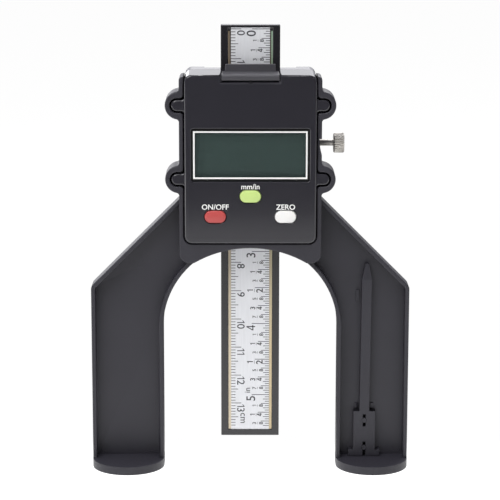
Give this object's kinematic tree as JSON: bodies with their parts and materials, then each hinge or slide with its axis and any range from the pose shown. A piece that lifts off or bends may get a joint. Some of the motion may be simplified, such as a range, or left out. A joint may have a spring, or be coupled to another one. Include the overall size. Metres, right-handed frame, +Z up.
{
  "type": "digital height gauge",
  "caption": "Arched stand on magnetic feet with a display body, through which a printed scale bar slides to read heights; thumb screw lock, battery drawer and a stored groove probe.",
  "frame": {"origin": "on the table plane, midway between the two feet", "axes": "+X to the right across the front, +Y away from the display towards the back, +Z up along the scale bar"},
  "size_m": [0.1086, 0.03, 0.1518],
  "materials": {
    "moulded_plastic": "fine satin texture, charcoal",
    "bar_plastic": "fine satin texture, near black",
    "magnet_nickel": "nickel plated",
    "screw_steel": "zinc plated",
    "window_lens": "polished clear window with a white printed outline",
    "lcd_glass": "polished",
    "silicone": "matt",
    "circuit_board": "solder mask",
    "black_resin": "glossy",
    "red_button": "satin",
    "green_button": "satin",
    "white_button": "satin",
    "cell_steel": "bright",
    "contact_steel": "spring steel",
    "brass_insert": "turned",
    "thumb_screw": "turned and straight knurled, nickel plated",
    "pad_plastic": "natural",
    "scale_laminate": "glass fibre laminate",
    "printed_rule": "silver film with dark print"
  },
  "bodies": {
    "stand": {"stand_frame": "moulded_plastic", "foot_magnets": "magnet_nickel", "front_housing": "moulded_plastic", "back_cover": "moulded_plastic", "cover_screws": "screw_steel", "frame_screws": "screw_steel", "display_window": "window_lens", "lcd_panel": "lcd_glass", "zebra_strip": "silicone", "main_board": "circuit_board", "board_screws": "screw_steel", "control_chip": "black_resin", "crystal_can": "screw_steel", "key_mat": "silicone", "battery_contact_positive": "contact_steel", "battery_contact_negative": "contact_steel", "lock_insert": "brass_insert", "friction_spring": "contact_steel"},
    "bar": {"scale_bar": "bar_plastic", "scale_board": "scale_laminate", "rule_label": "printed_rule"},
    "on_off": {"on_off_button": "red_button"},
    "unit": {"unit_button": "green_button"},
    "zero": {"zero_button": "white_button"},
    "drawer": {"battery_drawer": "moulded_plastic", "coin_cell": "cell_steel"},
    "brake": {"brake_pad": "pad_plastic"},
    "lock": {"lock_screw": "thumb_screw"},
    "probe": {"groove_probe": "moulded_plastic"}
  },
  "joints": [
    {"name": "bar_slide", "type": "slide", "parent": "stand", "child": "bar", "axis": [0, 0, 1], "range_m": [-0.0089, 0.07]},
    {"name": "on_off_press", "type": "slide", "parent": "stand", "child": "on_off", "axis": [0, 1, 0], "range_m": [0, 0.0006], "stiffness_N_per_m": 1500},
    {"name": "unit_press", "type": "slide", "parent": "stand", "child": "unit", "axis": [0, 1, 0], "range_m": [0, 0.0006], "stiffness_N_per_m": 1500},
    {"name": "zero_press", "type": "slide", "parent": "stand", "child": "zero", "axis": [0, 1, 0], "range_m": [0, 0.0006], "stiffness_N_per_m": 1500},
    {"name": "drawer_slide", "type": "slide", "parent": "stand", "child": "drawer", "axis": [0, 0, 1], "range_m": [0, 0.024]},
    {"name": "brake_slide", "type": "slide", "parent": "stand", "child": "brake", "axis": [-1, 0, 0], "range_m": [0, 0.000277]},
    {"name": "lock_turn", "type": "hinge", "parent": "brake", "child": "lock", "pos_m": [0.02, 0.0057, 0.11165], "axis": [-1, 0, 0], "range_deg": [0, 250]},
    {"name": "probe_pull", "type": "slide", "parent": "stand", "child": "probe", "axis": [0, -1, 0], "range_m": [0, 0.02]}
  ],
  "couplings": [
    {"joint": "lock_turn", "follows": "brake_slide", "rad_per_m": 15708}
  ]
}
